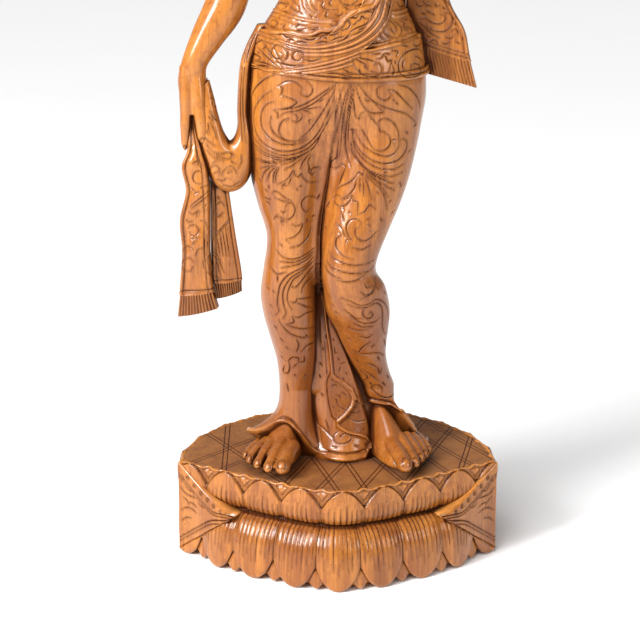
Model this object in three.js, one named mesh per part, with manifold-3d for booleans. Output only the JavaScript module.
// A carved wooden figure of a standing woman on a lotus base, cut from one log, in millimetres.
// She faces -Y, X runs to the viewer's right and Z is up. The origin is the middle of the base's
// underside. Everything is carved in a working frame whose Y is 0 on the line between the two
// corners of the base, and the finished solid is moved to the origin at the end.
import * as THREE from 'three';
import { mergeVertices } from 'three/addons/utils/BufferGeometryUtils.js';
import Module from 'manifold-3d';

const wasm = await Module();
wasm.setup();

// Driving dimensions of the base
const BASE_HEIGHT = 100;
const BASE_RADIUS = 162.5; // half the distance between the corners, and the round back's radius
const FRONT_REACH = 84; // from the corner line to the front of the top
const FRONT_NOSE = 21.3; // how round the front's nose is
const FRONT_SLOPE = 0.635; // how far the front runs back for each millimetre sideways
const PETALS = 20;
const STEPS_PER_PETAL = 6;
// Steps across half a petal, from its middle to the second row's tip between two petals: how far
// each lies back from the petal's face, its lower edge's height and its upper edge's height
const PETAL_STEPS = [
  { back: 0, foot: 0, rim: 100 },
  { back: 0, foot: 2.5, rim: 100 },
  { back: 1.2, foot: 11, rim: 96 },
  { back: 4.5, foot: 4, rim: 98.5 },
];
// Rings from the flat underside out over the petals to the top: a height or an edge of the petals,
// the share of the flare, the reach past it and the share of the petals' relief. Those that fade
// go plain at the corners, under the cloth.
const BASE_RINGS = [
  { z: 0, flare: 1, reach: -16, relief: 0 },
  { edge: 'foot', rise: 0.5, flare: 1, reach: -4.5, relief: 1 },
  { edge: 'foot', rise: 0, flare: 1, reach: 0, relief: 1 },
  { z: 32, flare: 0.93, reach: 0, relief: 0.5 },
  { z: 53, flare: 0.55, reach: 0, relief: 0 },
  { z: 63, flare: 0, reach: -2.5, relief: 0, fades: true },
  { z: 77, flare: 0, reach: 3.4, relief: 0.6, fades: true },
  { edge: 'rim', rise: 0, flare: 0, reach: 0, relief: 0.6 },
  { z: 99, flare: 0, reach: -4, relief: 0 },
];
const FLARE = 19; // how far the lower petals stand out past the top's edge
const CORNER_FLARE = 2;
const BACK_FLARE = 12;
const CORNER_FADE = 80; // the flare dies away over this length towards a corner
const CORNER_PLAIN = 30;
// The cloth over each corner: how far it reaches along the sides, its heights at the corner and at
// its ends, how far it stands out and how deep it is set in
const CLOTH = { reach: 76, top: 99, end: 60, bottom: 5, lift: 4, cornerLift: 0.4, depth: 6, follow: 0.7 };
const CLOTH_END = 0.98; // the ends stop just short of a point
const CLOTH_COLUMNS = 6;
const CLOTH_ROWS = 3;

// The legs and the trunk, as ellipses at stations up the figure: centre x, y and half widths rx, ry
const RIGHT_LEG = [
  { z: 96, x: -43, y: 42, rx: 19, ry: 24 },
  { z: 150, x: -42.5, y: 34, rx: 18, ry: 21 },
  { z: 166, x: -42, y: 31, rx: 17.5, ry: 20 },
  { z: 200, x: -42, y: 27, rx: 20, ry: 24 },
  { z: 232, x: -45.5, y: 22, rx: 24.5, ry: 28 },
  { z: 255, x: -48, y: 18, rx: 27.5, ry: 31 },
  { z: 277, x: -49, y: 14, rx: 28.5, ry: 31 },
  { z: 305, x: -47.5, y: 9, rx: 26.5, ry: 28 },
  { z: 325, x: -46, y: 8, rx: 25, ry: 27 },
  { z: 342, x: -46, y: 9, rx: 25.5, ry: 29 },
  { z: 370, x: -48.5, y: 12, rx: 31.5, ry: 34 },
  { z: 398, x: -49, y: 16, rx: 37.5, ry: 40 },
  { z: 440, x: -48, y: 20, rx: 42, ry: 45 },
  { z: 470, x: -47, y: 22, rx: 42, ry: 46 },
  { z: 505, x: -44, y: 22, rx: 38, ry: 38 },
];
const LEFT_LEG = [
  { z: 96, x: 49, y: 52, rx: 19, ry: 24 },
  { z: 150, x: 46, y: 42, rx: 18, ry: 20 },
  { z: 172, x: 41, y: 34, rx: 17, ry: 19 },
  { z: 189, x: 35, y: 28, rx: 17.5, ry: 20 },
  { z: 209, x: 29, y: 21, rx: 20, ry: 23 },
  { z: 225, x: 26, y: 16, rx: 23.5, ry: 25 },
  { z: 240, x: 24, y: 11, rx: 27, ry: 27 },
  { z: 259, x: 20, y: 5, rx: 32, ry: 30 },
  { z: 275, x: 18, y: -1, rx: 32, ry: 31 },
  { z: 290, x: 15, y: -7, rx: 31, ry: 30 },
  { z: 305, x: 10, y: -10, rx: 27.5, ry: 29 },
  { z: 319, x: 11, y: -9, rx: 28, ry: 30 },
  { z: 346, x: 17, y: -2, rx: 33, ry: 34 },
  { z: 371, x: 24, y: 5, rx: 37, ry: 37 },
  { z: 395, x: 30, y: 11, rx: 39.5, ry: 40 },
  { z: 423, x: 35, y: 17, rx: 41.5, ry: 43 },
  { z: 446, x: 38, y: 21, rx: 43, ry: 45 },
  { z: 470, x: 41, y: 24, rx: 43, ry: 46 },
  { z: 505, x: 40, y: 24, rx: 38, ry: 38 },
];
const TRUNK = [
  { z: 396, x: -6, y: 22, rx: 16, ry: 14 },
  { z: 430, x: -4, y: 22, rx: 52, ry: 36 },
  { z: 470, x: -2, y: 22, rx: 78, ry: 53 },
  { z: 490, x: -1, y: 22, rx: 83, ry: 56 },
  { z: 510, x: -1.5, y: 22, rx: 82, ry: 55 },
  { z: 540, x: 0, y: 20, rx: 74.5, ry: 49 },
  { z: 568, x: 2, y: 17, rx: 60, ry: 42 },
  { z: 600, x: 4, y: 15, rx: 51, ry: 37 },
  { z: 640, x: 4, y: 14, rx: 58, ry: 41 },
  { z: 680, x: 2, y: 15, rx: 65, ry: 43 },
  { z: 705, x: 1, y: 17, rx: 70, ry: 40 },
  { z: 722, x: 0, y: 18, rx: 76, ry: 32 },
  { z: 735, x: 0, y: 20, rx: 64, ry: 27 },
  { z: 743, x: 0, y: 20, rx: 38, ry: 24 },
  { z: 752, x: 0, y: 18, rx: 22, ry: 22 },
  { z: 775, x: 0, y: 13, rx: 19.5, ry: 20 },
  { z: 800, x: 0, y: 10, rx: 19, ry: 20 },
];
// The cloth stretched between the thighs: its half thickness and how far it lies behind their middle
const WEB = [
  { z: 290, ry: 12, back: 6 },
  { z: 350, ry: 16, back: 2 },
  { z: 400, ry: 24, back: 0 },
  { z: 440, ry: 33, back: 0 },
  { z: 505, ry: 40, back: 0 },
];
// Breasts and buttocks: centre and half sizes
const SWELLS = [
  { x: 30, y: -18, z: 666, rx: 26, ry: 28, rz: 26 },
  { x: -28, y: -18, z: 666, rx: 26, ry: 28, rz: 26 },
  { x: 42, y: 42, z: 474, rx: 43, ry: 38, rz: 50 },
  { x: -46, y: 42, z: 474, rx: 43, ry: 38, rz: 50 },
];
const LEG_BLEND = 7;
const TRUNK_BLEND = 16;
// The walk in to the body's surface: where it starts, its most steps, the share of the distance it
// takes in each and how near it has to come
const WALK_START = 130;
const WALK_STEPS = 60;
const CAREFUL = 0.8;
const CLOSE_ENOUGH = 0.05;
const LEGS_END = 505; // the legs have sunk into the hips at this height
const TRUNK_START = 396;
// Between these heights the middle of the body's sections passes from the legs' to the trunk's
const AXIS_SHIFT = [400, 480];
const TRUNK_COLUMNS = 26;
const THIGH_ROWS = [297, 313, 334, 360, 390, 422, 452, 480];
const CHEST_ROWS = [554, 576, 606, 638, 656, 674, 690, 705, 718, 728, 736, 746, 786];
// The sash round the hips: its edges as angles from the front and heights, and its thickness
const SASH_UPPER = [
  { angle: -180, z: 537 },
  { angle: -90, z: 539 },
  { angle: -45, z: 535 },
  { angle: -15, z: 530 },
  { angle: 25, z: 529 },
  { angle: 90, z: 535 },
  { angle: 180, z: 537 },
];
const SASH_LOWER = [
  { angle: -180, z: 506 },
  { angle: -77, z: 506.5 },
  { angle: -46, z: 504 },
  { angle: -14, z: 500.5 },
  { angle: 40, z: 498 },
  { angle: 100, z: 498.5 },
  { angle: 180, z: 506 },
];
const SASH_LIFT = 2.5;
const SASH_EDGE = 1.5;

// The lower legs, each with the skirt's hem over its foot. The hem is given round a centre as a
// direction in degrees from the front towards +X, a distance and a height.
const FLARE_START = 172; // below this height the skirt runs out to its hem
const HEM_STEPS = 3;
const HEM_SPREAD = 1.7; // how late the skirt runs out, above the hem
const HEM_LIP = { reach: 0.9, drop: 5 }; // the underside of the hem
const UNDER_HEM = { reach: 0.6, z: 96 }; // where the leg ends, inside the base
const LEG_COLUMNS = 13;
const LEG_ROWS = [194, 220, 246, 276, 308];
const LEG_SINK = 1; // how far the last ring lies inside the thigh
const RIGHT_HEM = {
  x: -42,
  y: 36,
  round: [
    { angle: -180, r: 38, z: 101 },
    { angle: -145, r: 50, z: 102 },
    { angle: -112, r: 51, z: 108 },
    { angle: -90, r: 38, z: 122 },
    { angle: -50, r: 25, z: 137 },
    { angle: -12, r: 28.7, z: 136 },
    { angle: 8, r: 31, z: 126 },
    { angle: 30, r: 25, z: 107 },
    { angle: 90, r: 22, z: 101 },
  ],
};
const LEFT_HEM = {
  x: 46,
  y: 42,
  round: [
    { angle: -150, r: 34, z: 101 },
    { angle: -90, r: 20, z: 132 },
    { angle: -52, r: 21.5, z: 154 },
    { angle: -20, r: 21, z: 159 },
    { angle: 9, r: 20, z: 157 },
    { angle: 42, r: 20, z: 150 },
    { angle: 80, r: 25, z: 139 },
    { angle: 100, r: 35, z: 126 },
    { angle: 117, r: 52, z: 106 },
    { angle: 142, r: 55, z: 101 },
    { angle: 180, r: 45, z: 101 },
  ],
};
// The cloth that spreads on the base between the feet and behind the heels
const APRON_HEM = {
  x: 1,
  y: 38,
  round: [
    { angle: -165, r: 62, z: 101 },
    { angle: -110, r: 60, z: 101 },
    { angle: -70, r: 34, z: 101 },
    { angle: -46, r: 37.5, z: 101 },
    { angle: -10, r: 40.6, z: 101 },
    { angle: 18, r: 45, z: 101 },
    { angle: 41, r: 46, z: 101 },
    { angle: 70, r: 38, z: 101 },
    { angle: 110, r: 62, z: 101 },
    { angle: 165, r: 64, z: 101 },
  ],
};
const APRON_COLUMNS = 16;
const APRON_SPREAD = [
  { z: 96, reach: 0.95 },
  { z: 101, reach: 1 },
  { z: 105, reach: 0.95 },
  { z: 116, reach: 0.45 },
];
const APRON_SECTIONS = [
  { z: 150, x: 1, y: 38, rx: 44, ry: 18 },
  { z: 200, x: -6, y: 34, rx: 38, ry: 13 },
  { z: 250, x: -12, y: 27, rx: 34, ry: 13 },
  { z: 306, x: -18, y: 16, rx: 28, ry: 16 },
];

// A value between stations, on a smooth curve through them.
function between(stations, key, at, place = 'z') {
  const last = stations.length - 1;
  if (at <= stations[0][place]) return stations[0][key];
  if (at >= stations[last][place]) return stations[last][key];
  const i = stations.findIndex((s) => s[place] > at) - 1;
  const slope = (a, b) => (stations[b][key] - stations[a][key]) / (stations[b][place] - stations[a][place]);
  const gap = stations[i + 1][place] - stations[i][place];
  const start = slope(Math.max(i - 1, 0), i + 1);
  const end = slope(i, Math.min(i + 2, last));
  const t = (at - stations[i][place]) / gap;
  const [a, b] = [stations[i][key], stations[i + 1][key]];
  return (
    a * (1 + 2 * t) * (1 - t) ** 2 +
    start * gap * t * (1 - t) ** 2 +
    b * t * t * (3 - 2 * t) -
    end * gap * t * t * (1 - t)
  );
}

const clamp = (value, low = 0, high = 1) => Math.min(high, Math.max(low, value));
const smooth = (t) => clamp(t) ** 2 * (3 - 2 * clamp(t));
const mix = (a, b, t) => a + (b - a) * t;
const radians = THREE.MathUtils.degToRad;
const point = (x, y, z) => new THREE.Vector3(x, y, z);

// The smaller of two distances, rounded over a width k where they meet.
function blend(a, b, k) {
  const h = Math.max(k - Math.abs(a - b), 0) / k;
  return Math.min(a, b) - (h * h * k) / 4;
}

// How far an offset lies outside an ellipse or ellipsoid with the given half sizes.
function outside(offset, half) {
  const k0 = Math.hypot(...offset.map((d, i) => d / half[i]));
  const k1 = Math.hypot(...offset.map((d, i) => d / half[i] ** 2));
  return k1 === 0 ? -Math.min(...half) : (k0 * (k0 - 1)) / k1;
}

// How far a point lies outside the clothed body.
function outsideBody(x, y, z) {
  let gap = WALK_START;
  if (z < LEGS_END) {
    const [right, left] = [RIGHT_LEG, LEFT_LEG].map((leg) => {
      const at = (key) => between(leg, key, z);
      return { x: at('x'), y: at('y'), gap: outside([x - at('x'), y - at('y')], [at('rx'), at('ry')]) };
    });
    const middle = { x: (right.x + left.x) / 2, y: (right.y + left.y) / 2 + between(WEB, 'back', z) };
    const web = outside([x - middle.x, y - middle.y], [(left.x - right.x) / 2, between(WEB, 'ry', z)]);
    gap = blend(blend(right.gap, left.gap, LEG_BLEND), web, LEG_BLEND);
  }
  if (z > TRUNK_START) {
    const at = (key) => between(TRUNK, key, z);
    gap = blend(gap, outside([x - at('x'), y - at('y')], [at('rx'), at('ry')]), TRUNK_BLEND);
  }
  for (const s of SWELLS) {
    if (Math.abs(z - s.z) < s.rz + TRUNK_BLEND) {
      gap = blend(gap, outside([x - s.x, y - s.y, z - s.z], [s.rx, s.ry, s.rz]), TRUNK_BLEND / 2);
    }
  }
  return gap;
}

// The vertical axis that the body's surface is measured from, at a height.
function axisAt(z) {
  const middle = (key) => (between(RIGHT_LEG, key, z) + between(LEFT_LEG, key, z)) / 2;
  const [from, to] = AXIS_SHIFT;
  const up = smooth((z - from) / (to - from));
  const at = (key) => mix(middle(key), between(TRUNK, key, z), up);
  return { x: at('x'), y: at('y') };
}

// The body's outermost radius from its axis, found by walking in from outside.
function bodyRadius(angle, z) {
  const axis = axisAt(z);
  const [dx, dy] = [Math.sin(angle), -Math.cos(angle)];
  let r = WALK_START;
  for (let step = 0; step < WALK_STEPS; step++) {
    const gap = outsideBody(axis.x + r * dx, axis.y + r * dy, z);
    if (gap < CLOSE_ENOUGH) break;
    r -= CAREFUL * gap;
  }
  return r;
}

// A point on the body at an angle in degrees from the front and a height, lifted off the surface.
function onBody(degrees, z, lift = 0) {
  const angle = radians(degrees);
  const axis = axisAt(z);
  const r = bodyRadius(angle, z) + lift;
  return point(axis.x + r * Math.sin(angle), axis.y - r * Math.cos(angle), z);
}

// A closed solid from points and triangles, turned so that its faces point out.
const MERGE = 1e-3;
function solid(points, faces) {
  const geometry = new THREE.BufferGeometry();
  const positions = points.flatMap((p) => p.toArray());
  geometry.setAttribute('position', new THREE.Float32BufferAttribute(positions, 3));
  geometry.setIndex(faces.flat());
  const merged = mergeVertices(geometry, MERGE);
  const vertProperties = merged.attributes.position.array;
  const triVerts = new Uint32Array(merged.index.array);
  const make = () => new wasm.Manifold(new wasm.Mesh({ numProp: 3, vertProperties, triVerts }));
  const made = make();
  if (made.volume() > 0) return made;
  for (let i = 0; i < triVerts.length; i += 3) {
    [triVerts[i + 1], triVerts[i + 2]] = [triVerts[i + 2], triVerts[i + 1]];
  }
  return make();
}

// A solid through closed rings of points, each with the same count, closed at both ends.
function loft(rings) {
  const count = rings[0].length;
  const points = rings.flat();
  const faces = [];
  for (let row = 0; row + 1 < rings.length; row++) {
    for (let i = 0; i < count; i++) {
      const [a, b] = [row * count + i, row * count + ((i + 1) % count)];
      faces.push([a, b, b + count], [a, b + count, a + count]);
    }
  }
  for (const [row, flip] of [[0, true], [rings.length - 1, false]]) {
    const middle = rings[row].reduce((sum, p) => sum.add(p), point(0, 0, 0)).divideScalar(count);
    points.push(middle);
    for (let i = 0; i < count; i++) {
      const [a, b] = [row * count + i, row * count + ((i + 1) % count)];
      faces.push(flip ? [b, a, points.length - 1] : [a, b, points.length - 1]);
    }
  }
  return solid(points, faces);
}

// A solid between two sheets of points with the same rows and columns.
function slab(front, back) {
  const [rows, columns] = [front.length, front[0].length];
  const points = [...front.flat(), ...back.flat()];
  const end = columns - 1;
  const at = (side, row, column) => side * rows * columns + row * columns + column;
  const faces = [];
  const quad = (a, b, c, d) => faces.push([a, b, c], [a, c, d]);
  for (let r = 0; r + 1 < rows; r++) {
    for (let c = 0; c + 1 < columns; c++) {
      quad(at(0, r, c), at(0, r, c + 1), at(0, r + 1, c + 1), at(0, r + 1, c));
      quad(at(1, r, c), at(1, r + 1, c), at(1, r + 1, c + 1), at(1, r, c + 1));
    }
    quad(at(0, r, 0), at(0, r + 1, 0), at(1, r + 1, 0), at(1, r, 0));
    quad(at(0, r, end), at(1, r, end), at(1, r + 1, end), at(0, r + 1, end));
  }
  for (let c = 0; c + 1 < columns; c++) {
    quad(at(0, 0, c), at(1, 0, c), at(1, 0, c + 1), at(0, 0, c + 1));
    quad(at(0, rows - 1, c), at(0, rows - 1, c + 1), at(1, rows - 1, c + 1), at(1, rows - 1, c));
  }
  return solid(points, faces);
}

// A sheet of points: at(u, v) for u along the rows and v along the columns, both from 0 to 1.
function sheet(rows, columns, at) {
  return Array.from({ length: rows + 1 }, (_, r) =>
    Array.from({ length: columns + 1 }, (_, c) => at(r / rows, c / columns)),
  );
}

const NEARBY = 0.01; // the step along a curve from which its direction is taken

// A rounded limb through stations x, y, z, with half width a sideways and b in depth.
function limb(stations, sides, rows) {
  const place = stations.map((s, i) => ({ ...s, i }));
  const at = (key, t) => between(place, key, t * (stations.length - 1), 'i');
  const centre = (t) => point(at('x', t), at('y', t), at('z', t));
  const rings = [];
  for (let row = 0; row <= rows; row++) {
    const t = row / rows;
    const ahead = centre(Math.min(t + NEARBY, 1)).sub(centre(Math.max(t - NEARBY, 0))).normalize();
    const deep = point(0, 1, 0).addScaledVector(ahead, -ahead.y).normalize();
    const across = new THREE.Vector3().crossVectors(deep, ahead).normalize();
    rings.push(
      Array.from({ length: sides }, (_, k) => {
        const turn = (2 * Math.PI * k) / sides;
        return centre(t)
          .addScaledVector(across, at('a', t) * Math.cos(turn))
          .addScaledVector(deep, at('b', t) * Math.sin(turn));
      }),
    );
  }
  return loft(rings);
}

// A rounded finger or toe from its root to its tip, with a domed end.
const DIGIT_STATIONS = [
  { along: 0, swell: 1 },
  { along: 0.86, swell: 0.97 },
  { along: 1, swell: 0.45 },
];
const DIGIT_SIDES = 5;
function digit(root, tip, rootRadius, tipRadius) {
  const stations = DIGIT_STATIONS.map(({ along, swell }) => {
    const r = mix(rootRadius, tipRadius, along) * swell;
    const at = (i) => mix(root[i], tip[i], along);
    return { x: at(0), y: at(1), z: at(2), a: r, b: r };
  });
  return limb(stations, DIGIT_SIDES, stations.length - 1);
}

// The base's outline: a round back, and a front that runs from each corner to a rounded nose.
const FINE = 200; // points along each quarter of the outline
function makeOutline() {
  const nose = (x) => Math.hypot(FRONT_NOSE, FRONT_SLOPE * x) - FRONT_NOSE;
  const scale = FRONT_REACH / nose(BASE_RADIUS);
  const front = (x) => ({ x, y: scale * nose(x) - FRONT_REACH });
  const back = (turn) => ({ x: BASE_RADIUS * Math.cos(turn), y: BASE_RADIUS * Math.sin(turn) });
  const loop = [];
  for (let i = 0; i < FINE; i++) loop.push(front((BASE_RADIUS * i) / FINE));
  for (let i = 0; i < 2 * FINE; i++) loop.push(back((Math.PI * i) / (2 * FINE)));
  for (let i = 0; i < FINE; i++) loop.push(front(-BASE_RADIUS + (BASE_RADIUS * i) / FINE));
  const lengths = [0]; // from the front's middle to each point
  for (let i = 0; i < loop.length; i++) {
    const next = loop[(i + 1) % loop.length];
    lengths.push(lengths[i] + Math.hypot(next.x - loop[i].x, next.y - loop[i].y));
  }
  return { loop, lengths, total: lengths.at(-1), corner: lengths[FINE] };
}
const OUTLINE = makeOutline();

// The outline's point at a length from the front's middle, moved out square to it.
const EASE = 4; // the direction is taken over this length to each side, so that corners come out round
function onOutline(length, out) {
  const { loop, lengths, total } = OUTLINE;
  const s = ((length % total) + total) % total;
  const spot = (at) => {
    const wrapped = ((at % total) + total) % total;
    const i = Math.max(lengths.findIndex((l) => l > wrapped) - 1, 0);
    const t = (wrapped - lengths[i]) / (lengths[i + 1] - lengths[i]);
    const next = loop[(i + 1) % loop.length];
    return { x: mix(loop[i].x, next.x, t), y: mix(loop[i].y, next.y, t) };
  };
  const [here, before, after] = [spot(s), spot(s - EASE), spot(s + EASE)];
  const run = Math.hypot(after.x - before.x, after.y - before.y);
  return {
    x: here.x + (out * (after.y - before.y)) / run,
    y: here.y - (out * (after.x - before.x)) / run,
  };
}

// How far the lower petals stand out at a length from the front's middle.
function flareAt(length) {
  const { total, corner } = OUTLINE;
  const s = Math.min(length, total - length);
  const most = s < corner ? FLARE : BACK_FLARE;
  return CORNER_FLARE + (most - CORNER_FLARE) * smooth(Math.abs(s - corner) / CORNER_FADE);
}

// The base with its two rings of petals.
function lotusBase() {
  const count = PETALS * STEPS_PER_PETAL;
  const { total, corner } = OUTLINE;
  return loft(
    BASE_RINGS.map((ring) =>
      Array.from({ length: count }, (_, i) => {
        const step = i % STEPS_PER_PETAL;
        const petal = PETAL_STEPS[Math.min(step, STEPS_PER_PETAL - step)];
        const length = (i * total) / count;
        const fromCorner = Math.abs(corner - Math.min(length, total - length));
        const shown = ring.fades ? smooth(fromCorner / CORNER_PLAIN) : 1;
        const out = flareAt(length) * ring.flare + (ring.reach - petal.back * ring.relief) * shown;
        const spot = onOutline(length, out);
        return point(spot.x, spot.y, ring.edge ? petal[ring.edge] + ring.rise : ring.z);
      }),
    ),
  );
}

// The folded cloth that hangs over one corner of the base, a diamond bent round it.
function cornerCloth(side) {
  const { reach, top, end, bottom, lift, cornerLift, depth, follow } = CLOTH;
  const cover = (edgeLift, middleLift) =>
    sheet(CLOTH_COLUMNS, CLOTH_ROWS, (u, v) => {
      const along = mix(-CLOTH_END, CLOTH_END, u);
      const far = Math.abs(along);
      const z = mix(mix(bottom, end, far), mix(top, end, far), v);
      const length = OUTLINE.corner + along * reach;
      const out = follow * far * flareAt(length) * smooth(2 - (2 * z) / BASE_HEIGHT);
      const spot = onOutline(side * length, out + mix(middleLift, edgeLift, smooth(2 * far)));
      return point(spot.x, spot.y, z);
    });
  return slab(cover(lift, cornerLift), cover(-depth, -depth));
}

// A hem's distance or height in a direction.
function hemAt(hem, key, angle) {
  const turns = [-360, 0, 360].flatMap((turn) => hem.round.map((h) => ({ ...h, angle: h.angle + turn })));
  return between(turns, key, angle, 'angle');
}

// A full circle of directions in degrees.
const circle = (count) => Array.from({ length: count }, (_, i) => (360 * i) / count - 180);

// A lower leg in its skirt, from inside the base up into the thigh.
function lowerLeg(leg, hem) {
  const around = (z, inset) =>
    circle(LEG_COLUMNS).map((angle) => {
      const turn = radians(angle);
      const at = (key) => between(leg, key, z);
      const [a, b] = [at('rx') - inset, at('ry') - inset];
      return point(at('x') + a * Math.sin(turn), at('y') - b * Math.cos(turn), z);
    });
  const top = around(FLARE_START, 0);
  const flared = (t, reach, drop) =>
    circle(LEG_COLUMNS).map((angle, i) => {
      const turn = radians(angle);
      const r = hemAt(hem, 'r', angle) * reach;
      const [x, y] = [hem.x + r * Math.sin(turn), hem.y - r * Math.cos(turn)];
      const z = hemAt(hem, 'z', angle) - drop;
      const inward = 1 - (1 - t) ** HEM_SPREAD;
      return point(mix(x, top[i].x, inward), mix(y, top[i].y, inward), mix(z, top[i].z, t));
    });
  const steps = Array.from({ length: HEM_STEPS + 1 }, (_, step) => flared(step / HEM_STEPS, 1, 0));
  return loft([
    flared(0, UNDER_HEM.reach, 0).map((p) => p.setZ(UNDER_HEM.z)),
    flared(0, HEM_LIP.reach, HEM_LIP.drop),
    ...steps,
    ...LEG_ROWS.map((z) => around(z, z > THIGH_ROWS[0] ? LEG_SINK : 0)),
  ]);
}

// The cloth between the legs and the part of it that lies on the base.
function apron() {
  const upright = APRON_SECTIONS.map(({ z, x, y, rx, ry }) =>
    circle(APRON_COLUMNS).map((angle) => {
      const turn = radians(angle);
      return point(x + rx * Math.sin(turn), y - ry * Math.cos(turn), z);
    }),
  );
  const spread = APRON_SPREAD.map(({ z, reach }) =>
    circle(APRON_COLUMNS).map((angle, i) => {
      const turn = radians(angle);
      const out = hemAt(APRON_HEM, 'r', angle);
      const hem = point(APRON_HEM.x + out * Math.sin(turn), APRON_HEM.y - out * Math.cos(turn), z);
      return hem.lerp(upright[0][i].clone().setZ(z), 1 - reach);
    }),
  );
  return loft([...spread, ...upright]);
}

// The thighs, hips, chest and neck in one piece, with the sash standing out round the hips.
function body() {
  const level = (z) => circle(TRUNK_COLUMNS).map((angle) => onBody(angle, z));
  const edge = (stations, rise, lift) =>
    circle(TRUNK_COLUMNS).map((angle) => {
      const z = between(stations, 'z', angle, 'angle');
      return onBody(angle, z + rise, lift);
    });
  return loft([
    ...THIGH_ROWS.map(level),
    edge(SASH_LOWER, 0, 0),
    edge(SASH_LOWER, SASH_EDGE, SASH_LIFT),
    edge(SASH_UPPER, -SASH_EDGE, SASH_LIFT),
    edge(SASH_UPPER, 0, 0),
    ...CHEST_ROWS.map(level),
  ]);
}

// A strip of cloth between two free edges, crowned on its outer side. The outer side faces forward
// where the strip runs up from its first edge points, and turns with the strip.
function strip(left, right, { rows, columns, thick, crown }) {
  const along = (edge, u) => {
    const place = edge.map(([x, y, z], i) => ({ x, y, z, i }));
    const at = (key) => between(place, key, clamp(u) * (edge.length - 1), 'i');
    return point(at('x'), at('y'), at('z'));
  };
  const middle = (u) => along(left, u).lerp(along(right, u), 0.5);
  const rings = Array.from({ length: rows + 1 }, (_, row) => {
    const u = row / rows;
    const [a, b] = [along(left, u), along(right, u)];
    const ahead = middle(u + NEARBY).sub(middle(u - NEARBY));
    const outward = b.clone().sub(a).cross(ahead).normalize();
    const outer = Array.from({ length: columns + 1 }, (_, c) =>
      a.clone().lerp(b, c / columns).addScaledVector(outward, crown * Math.sin((Math.PI * c) / columns)),
    );
    const inner = [b, a].map((p) => p.clone().addScaledVector(outward, -thick));
    return [...outer, ...inner];
  });
  return loft(rings);
}

// Bare arms
const ARM_SIDES = 8;
const ARM_ROWS = 12;
const RIGHT_ARM = [
  { x: -50, y: 19, z: 712, a: 13, b: 15 },
  { x: -62, y: 19, z: 715, a: 18.5, b: 20 },
  { x: -73, y: 20, z: 702, a: 20, b: 21.5 },
  { x: -79, y: 21, z: 682, a: 18.5, b: 20.5 },
  { x: -81, y: 22, z: 664, a: 17, b: 19 },
  { x: -91, y: 22, z: 618, a: 16, b: 17 },
  { x: -100, y: 16, z: 590, a: 18.5, b: 18 },
  { x: -110, y: 11, z: 562, a: 19.5, b: 17 },
  { x: -126, y: 7, z: 535, a: 16, b: 14 },
  { x: -138.5, y: 4, z: 511, a: 12.6, b: 11 },
  { x: -142, y: 3, z: 490, a: 14.5, b: 9.5 },
  { x: -143, y: 3, z: 470, a: 13.5, b: 8.5 },
];
const LEFT_ARM = [
  { x: 50, y: 19, z: 712, a: 13, b: 15 },
  { x: 62, y: 19, z: 715, a: 18.5, b: 20 },
  { x: 73, y: 20, z: 702, a: 20, b: 21.5 },
  { x: 79, y: 21, z: 682, a: 18.5, b: 20.5 },
  { x: 83, y: 24, z: 664, a: 17, b: 19 },
  { x: 91, y: 22, z: 624, a: 16, b: 18 },
  { x: 92, y: 8, z: 604, a: 16.5, b: 17 },
  { x: 89, y: -14, z: 610, a: 18, b: 17 },
  { x: 84, y: -38, z: 634, a: 14.5, b: 13 },
  { x: 79, y: -55, z: 661, a: 11.5, b: 10 },
  { x: 76, y: -62, z: 682, a: 14, b: 8.5 },
  { x: 75, y: -64, z: 702, a: 13, b: 7.5 },
];
// Fingers: root, tip, radius at the root and at the tip
const RIGHT_FINGERS = [
  [[-134.5, 0, 484], [-131.5, -3, 432], 6.8, 6],
  [[-149, 1, 480], [-149.5, 0, 424], 7, 4],
  [[-148, 7, 476], [-146, 9, 430], 6.5, 4.5],
  [[-142, 11, 474], [-141, 14, 440], 6, 4.5],
  [[-133, 10, 494], [-128, 13, 456], 6.5, 5],
];
const LEFT_FINGERS = [
  [[67, -65, 696], [64, -66, 738], 5.8, 4.2],
  [[73, -66, 700], [72, -68, 747], 6, 4.2],
  [[80, -65, 700], [80, -68, 742], 5.8, 4.2],
  [[86, -63, 694], [88, -66, 728], 5.4, 4],
  [[66, -66, 680], [57, -72, 706], 6.2, 4.6],
];

// A foot from heel to ball, and its toes fanned out from the ball
const RIGHT_FOOT = {
  heel: [-38, 62],
  ball: [-64, -4],
  toes: [
    [[-46, -14, 110], [-54, -48, 107], 9.5, 9],
    [[-58, -8, 109], [-69, -36, 106], 7.2, 6.6],
    [[-68, 0, 108], [-79, -25, 105.5], 6.6, 6],
    [[-76, 9, 107], [-87.5, -11, 105], 6, 5.4],
    [[-82, 18, 106.5], [-93, 4, 105], 5.4, 5],
  ],
};
const LEFT_FOOT = {
  heel: [46, 72],
  ball: [66, 4],
  toes: [
    [[56, -6, 110], [63.5, -41, 107], 9.5, 9],
    [[66, 0, 109], [75, -27, 106], 7.2, 6.6],
    [[74, 9, 108], [83.5, -15, 105.5], 6.6, 6],
    [[80, 20, 107], [89, 4, 105], 6, 5.4],
    [[84, 30, 106.5], [93, 18, 105], 5.4, 5],
  ],
};
const FOOT_STATIONS = [
  { t: -0.08, half: 9, top: 122 },
  { t: 0.02, half: 16, top: 140 },
  { t: 0.28, half: 18, top: 164 },
  { t: 0.52, half: 19, top: 152 },
  { t: 0.76, half: 22, top: 131 },
  { t: 1, half: 25, top: 117.5 },
  { t: 1.12, half: 23, top: 111 },
];
const FOOT_SIDES = 8;
const FOOT_WIDEST = 104; // the height at which a foot is widest
const FOOT_UNDER = 8; // how far it goes down from there, into the base

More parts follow.
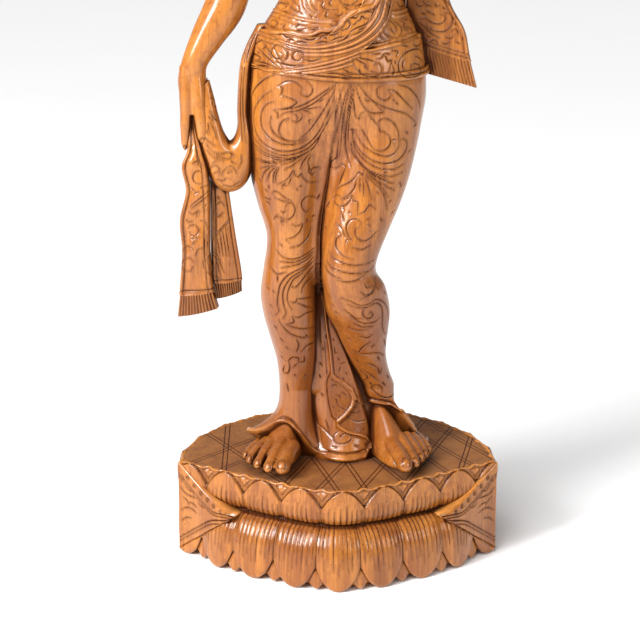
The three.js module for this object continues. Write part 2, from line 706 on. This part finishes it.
// A foot: arched cross-sections from heel to ball, with five toes.
function foot({ heel, ball, toes }) {
  const along = point(ball[0] - heel[0], ball[1] - heel[1], 0);
  const aside = point(-along.y, along.x, 0).normalize();
  const rings = FOOT_STATIONS.map(({ t, half, top }) =>
    Array.from({ length: FOOT_SIDES }, (_, k) => {
      const turn = (2 * Math.PI * k) / FOOT_SIDES;
      const rise = Math.sin(turn);
      return point(heel[0], heel[1], 0)
        .addScaledVector(along, t)
        .addScaledVector(aside, half * Math.cos(turn))
        .setZ(FOOT_WIDEST + rise * (rise > 0 ? top - FOOT_WIDEST : FOOT_UNDER));
    }),
  );
  return toes.reduce((whole, toe) => whole.add(digit(...toe)), loft(rings));
}

// The head: level sections with their reach forward at the middle of the face, at the eyes and at
// the cheek, their half width, and their reach back over the hair
const HEAD_CENTRE = { x: 0, y: 8 };
const FACE_ANGLES = {
  middle: 0,
  nostril: 9,
  eye: 23,
  cheek: 44,
  temple: 66,
  side: 90,
  nape: 135,
  back: 165,
};
const HEAD_SECTIONS = [
  { z: 768, middle: 14, eye: 15, cheek: 16, half: 17, back: 26 },
  { z: 775, middle: 32, eye: 28, cheek: 23, half: 22, back: 27 },
  { z: 781, middle: 38, eye: 33.5, cheek: 27.5, half: 26, back: 31 },
  { z: 788, middle: 36.5, eye: 35, cheek: 31, half: 30, back: 36 },
  { z: 794, middle: 40, eye: 36, cheek: 33, half: 32.5, back: 40 },
  { z: 800, middle: 38.5, eye: 36.5, cheek: 34.5, half: 34, back: 42 },
  { z: 804, middle: 47, eye: 37, cheek: 35.5, half: 35, back: 43 },
  { z: 818, middle: 40.5, eye: 35, cheek: 36, half: 36, back: 45 },
  { z: 828, middle: 40, eye: 38.5, cheek: 36.5, half: 36.5, back: 46 },
  { z: 843, middle: 39.5, eye: 39, cheek: 36, half: 36.5, back: 46 },
  { z: 846, middle: 41.5, eye: 41, cheek: 38, half: 36, back: 45.5 },
  { z: 858, middle: 35, eye: 35, cheek: 32.5, half: 31, back: 39 },
  { z: 869, middle: 23, eye: 23, cheek: 21, half: 20, back: 27 },
  { z: 874, middle: 9, eye: 9, cheek: 8, half: 8, back: 12 },
];
const NOSE_SPAN = { from: 801, to: 820, pinch: 0.35 };
const KNOT = { x: 0, y: 41, z: 861, rx: 24, ry: 22, rz: 24.5, sides: 9, steps: 5 };
const EAR = { x: 35, y: 12, z: 812, rx: 4, ry: 7, rz: 12, sides: 6, steps: 3 };

const POLE = 0.06; // how near the rings of a round form run to its poles, as a share of its height

// A round form with half sizes rx, ry and rz.
function ball({ x, y, z, rx, ry, rz, sides, steps }) {
  return loft(
    Array.from({ length: steps + 1 }, (_, row) => {
      const tilt = Math.PI * (mix(POLE, 1 - POLE, row / steps) - 0.5);
      const wide = Math.cos(tilt);
      return Array.from({ length: sides }, (_, i) => {
        const turn = (2 * Math.PI * i) / sides;
        const [a, b] = [rx * wide * Math.cos(turn), ry * wide * Math.sin(turn)];
        return point(x + a, y + b, z + rz * Math.sin(tilt));
      });
    }),
  );
}

// The head with its hair, ears and knot.
function head() {
  const angles = Object.values(FACE_ANGLES);
  const around = [...angles, ...angles.slice(1).reverse().map((angle) => -angle)];
  const rings = HEAD_SECTIONS.map(({ z, middle, eye, cheek, half, back }) => {
    const nose = z > NOSE_SPAN.from && z < NOSE_SPAN.to ? NOSE_SPAN.pinch * (middle - eye) : 0;
    const reach = {
      middle,
      nostril: mix(eye, middle, 0.75) - nose,
      eye,
      cheek,
      temple: mix(cheek, half, 0.6),
      side: half,
      nape: mix(half, back, 0.6),
      back,
    };
    const reaches = Object.values(reach);
    return around.map((angle) => {
      const r = reaches[angles.indexOf(Math.abs(angle))];
      const turn = radians(angle);
      return point(HEAD_CENTRE.x + r * Math.sin(turn), HEAD_CENTRE.y - r * Math.cos(turn), z);
    });
  });
  return loft(rings).add(ball(KNOT)).add(ball(EAR)).add(ball({ ...EAR, x: -EAR.x }));
}

// The scarf across the belly, from the right hip up over the left breast to the shoulder: its edges
// as angles from the front and heights
const DRAPE_UPPER = [
  [-92, 541], [-60, 544], [-30, 541], [-12, 543], [2, 556], [22, 567], [30, 590], [28, 620], [18, 655],
  [20, 690], [34, 722], [52, 738],
];
const DRAPE_LOWER = [
  [-92, 504], [-60, 507], [-30, 506], [0, 510], [22, 526], [42, 545], [56, 572], [64, 612], [70, 650],
  [72, 690], [74, 716], [82, 730],
];

const DRAPE_COLUMNS = 20;
const DRAPE_ROWS = 2;
const DRAPE_LIFT = 6;
const DRAPE_CROWN = 2;
const DRAPE_DEPTH = 6;

// The scarf where it lies across the body.
function drape() {
  const edge = (stations, u) => {
    const place = stations.map(([angle, z], i) => ({ angle, z, i }));
    const at = (key) => between(place, key, u * (stations.length - 1), 'i');
    return { angle: at('angle'), z: at('z') };
  };
  const grid = (lift, crown) =>
    sheet(DRAPE_COLUMNS, DRAPE_ROWS, (u, v) => {
      const [a, b] = [edge(DRAPE_LOWER, u), edge(DRAPE_UPPER, u)];
      const bulge = crown * Math.sin(Math.PI * v);
      return onBody(mix(a.angle, b.angle, v), mix(a.z, b.z, v), lift + bulge);
    });
  return slab(grid(DRAPE_LIFT, DRAPE_CROWN), grid(-DRAPE_DEPTH, 0));
}

// The scarf over the left shoulder and down behind the arm to its loose end beside the left hip
const SHOULDER_INNER = [
  [36, -13, 718], [38, 2, 741], [38, 24, 748], [42, 44, 738], [50, 54, 704], [60, 54, 660], [66, 50, 610],
  [64, 45, 566], [62, 42, 538], [62, 40, 516], [64, 38, 500],
];
const SHOULDER_OUTER = [
  [62, -11, 712], [64, 3, 736], [66, 26, 742], [73, 48, 729], [87, 54, 699], [100, 50, 655], [104, 44, 606],
  [108, 37, 566], [123, 33, 537], [128.4, 31, 513], [137, 28, 480],
];

// The scarf's other end: down the right hip, looped up to the right hand
const LOOP = [
  { gap: [-79, 545], far: [-66, 545], y: 18, b: 7 },
  { gap: [-90, 524], far: [-78, 522], y: 13, b: 9 },
  { gap: [-96, 504], far: [-84, 503], y: 11, b: 10 },
  { gap: [-98.7, 466], far: [-87, 464], y: 8, b: 11 },
  { gap: [-98.5, 450], far: [-83, 436], y: 6, b: 12 },
  { gap: [-101, 439], far: [-84, 406], y: 4, b: 13 },
  { gap: [-105.6, 433.7], far: [-94, 387], y: 3, b: 14 },
  { gap: [-109, 438], far: [-110, 382.6], y: 2, b: 14 },
  { gap: [-113, 447], far: [-125, 394.7], y: 1, b: 13 },
  { gap: [-117, 461], far: [-134, 422], y: 2, b: 11 },
  { gap: [-120.5, 476], far: [-137, 455], y: 3, b: 9 },
  { gap: [-125, 493], far: [-134, 486], y: 5, b: 6 },
];
const TAIL_LEFT = [
  [-144.5, -2, 472], [-146, -4, 448], [-147, -5, 425], [-152.6, -6, 409], [-149, -6, 385],
  [-155.5, -6, 355], [-154, -6, 324], [-157, -6, 287], [-160.5, -6, 256],
];
const TAIL_MIDDLE = [
  [-138, -4, 472], [-137, -7, 448], [-133, -9, 425], [-129, -11, 409], [-125, -11, 385],
  [-124, -11, 355], [-124, -11, 324], [-121, -11, 290], [-118, -10, 266],
];
const TAIL_INNER = [[-126, 2, 405], [-125, 0, 370], [-125, -2, 335], [-125, -3, 300], [-122, -4, 274]];
const TAIL_RIGHT = [[-110, 4, 400], [-105, 4, 362], [-101, 3, 334], [-96, 2, 300], [-95, 1, 281]];

// A rounded band through stations that each name its edge on the gap's side and its far edge.
const HOOP_SIDES = 8;
function hoop(stations) {
  return loft(
    stations.map(({ gap, far, y, b }) =>
      Array.from({ length: HOOP_SIDES }, (_, k) => {
        const turn = (2 * Math.PI * k) / HOOP_SIDES;
        const t = (1 + Math.cos(turn)) / 2;
        return point(mix(gap[0], far[0], t), y + b * Math.sin(turn), mix(gap[1], far[1], t));
      }),
    ),
  );
}

// The scarf's free lengths.
function scarf() {
  return [
    strip(SHOULDER_INNER, SHOULDER_OUTER, { rows: 12, columns: 3, thick: 9, crown: 2 }),
    hoop(LOOP),
    strip(TAIL_MIDDLE, TAIL_LEFT, { rows: 8, columns: 2, thick: 11, crown: 4 }),
    strip(TAIL_RIGHT, TAIL_INNER, { rows: 4, columns: 2, thick: 10, crown: 4 }),
  ];
}

// The pleated end of the skirt that falls between the knees: a back layer and three folds that
// step forward in a zigzag, each between a left and a right edge
const FALL_LAYERS = [
  {
    left: [
      [-25, 8, 296], [-26, 16, 250], [-27, 20, 205], [-30, 20, 165],
      [-34, 12, 135], [-34, 4, 112], [-31, 2, 101],
    ],
    right: [
      [-14, 4, 290], [2, 12, 250], [26, 22, 205], [36, 22, 165],
      [42, 12, 135], [41, 2, 112], [38, -2, 101],
    ],
    crown: 5,
  },
  {
    left: [[-19, 3, 292], [-13, 6, 256], [-9, 10, 226], [-6.5, 12, 203], [-3, 13, 193]],
    right: [[-14, 2, 292], [0, 4, 252], [12, 12, 222], [24, 16, 196], [30, 17, 177]],
    crown: 2,
  },
  {
    left: [[-14, 17, 200], [-13, 15, 176], [-10, 12, 160], [-6, 9, 146]],
    right: [[10, 14, 192], [16.5, 13, 176], [8, 10, 162], [-2, 8, 147]],
    crown: 3,
  },
  {
    left: [[12, 16, 176], [3, 12, 158], [-3, 9, 145]],
    right: [[34, 14, 164], [39, 9, 142], [37, 3, 128]],
    crown: 2,
  },
];

const FALL_COLUMNS = 3;
const FALL_THICKNESS = 16;

function skirtFall() {
  return FALL_LAYERS.map(({ left, right, crown }) =>
    strip(right, left, { rows: left.length, columns: FALL_COLUMNS, thick: FALL_THICKNESS, crown }),
  );
}

// The whole carving as one solid.
function figure() {
  const pieces = [
    lotusBase(),
    cornerCloth(1),
    cornerCloth(-1),
    body(),
    lowerLeg(RIGHT_LEG, RIGHT_HEM),
    lowerLeg(LEFT_LEG, LEFT_HEM),
    apron(),
    drape(),
    ...scarf(),
    ...skirtFall(),
    limb(RIGHT_ARM, ARM_SIDES, ARM_ROWS),
    limb(LEFT_ARM, ARM_SIDES, ARM_ROWS),
    ...RIGHT_FINGERS.map((finger) => digit(...finger)),
    ...LEFT_FINGERS.map((finger) => digit(...finger)),
    foot(RIGHT_FOOT),
    foot(LEFT_FOOT),
    head(),
  ];
  return pieces.reduce((whole, piece) => whole.add(piece));
}

// A three.js geometry from a finished solid.
function geometryOf(made) {
  const { vertProperties, triVerts } = made.getMesh();
  const geometry = new THREE.BufferGeometry();
  geometry.setAttribute('position', new THREE.BufferAttribute(vertProperties, 3));
  geometry.setIndex(new THREE.BufferAttribute(triVerts, 1));
  geometry.computeVertexNormals();
  return geometry;
}

const WOOD = new THREE.MeshStandardMaterial({ color: 0xb87333, roughness: 0.38, metalness: 0 });

const carving = new THREE.Mesh(geometryOf(figure()), WOOD);
carving.name = 'carved_figure';
carving.geometry.computeBoundingBox();
const box = carving.geometry.boundingBox;
carving.position.set(-(box.min.x + box.max.x) / 2, -(box.min.y + box.max.y) / 2, -box.min.z);

const group = new THREE.Group();
group.add(carving);
export default group;
